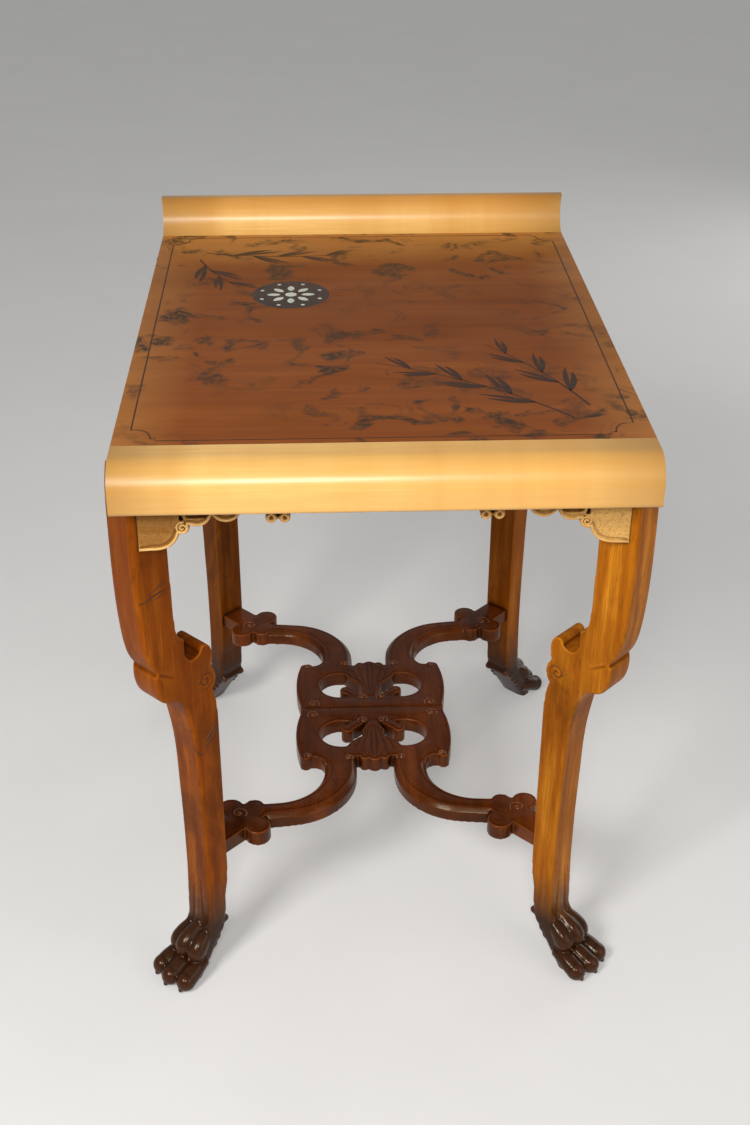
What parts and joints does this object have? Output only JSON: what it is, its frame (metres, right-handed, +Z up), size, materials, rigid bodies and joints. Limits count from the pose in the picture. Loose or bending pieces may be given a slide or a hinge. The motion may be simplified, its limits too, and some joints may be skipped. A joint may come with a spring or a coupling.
{
  "type": "tea table",
  "caption": "Small rectangular tea table: flat inlaid top rolled down in front and up behind, pierced aprons, diagonal scrolled paw legs and a curved pierced stretcher.",
  "frame": {"origin": "centre of the footprint, on the floor", "axes": "+Z up, -Y towards the end of the top that rolls down, +X to the right seen from that end"},
  "size_m": [0.5638, 0.732, 0.778],
  "materials": {
    "top_wood": "satin varnish",
    "pale_wood": "satin varnish",
    "leg_wood": "satin varnish",
    "apron_wood": "satin varnish",
    "stretcher_wood": "gloss varnish",
    "hidden_wood": "bare",
    "screw_metal": "plain",
    "dark_inlay": "polished",
    "pearl": "polished"
  },
  "bodies": {
    "root": {"top_panel": "top_wood", "front_roll": "pale_wood", "rear_roll": "pale_wood", "front_tongue": "hidden_wood", "rear_tongue": "hidden_wood", "front_left_leg": "leg_wood", "front_right_leg": "leg_wood", "rear_left_leg": "leg_wood", "rear_right_leg": "leg_wood", "front_apron": "apron_wood", "rear_apron": "apron_wood", "left_apron": "apron_wood", "right_apron": "apron_wood", "stretcher_front_half": "stretcher_wood", "stretcher_rear_half": "stretcher_wood", "stretcher_middle_dowels": "hidden_wood", "stretcher_leg_dowels": "hidden_wood", "apron_dowels": "hidden_wood", "glue_blocks": "hidden_wood", "top_screws": "screw_metal", "inlay_ground": "dark_inlay", "inlay_pearls": "pearl"}
  },
  "joints": []
}
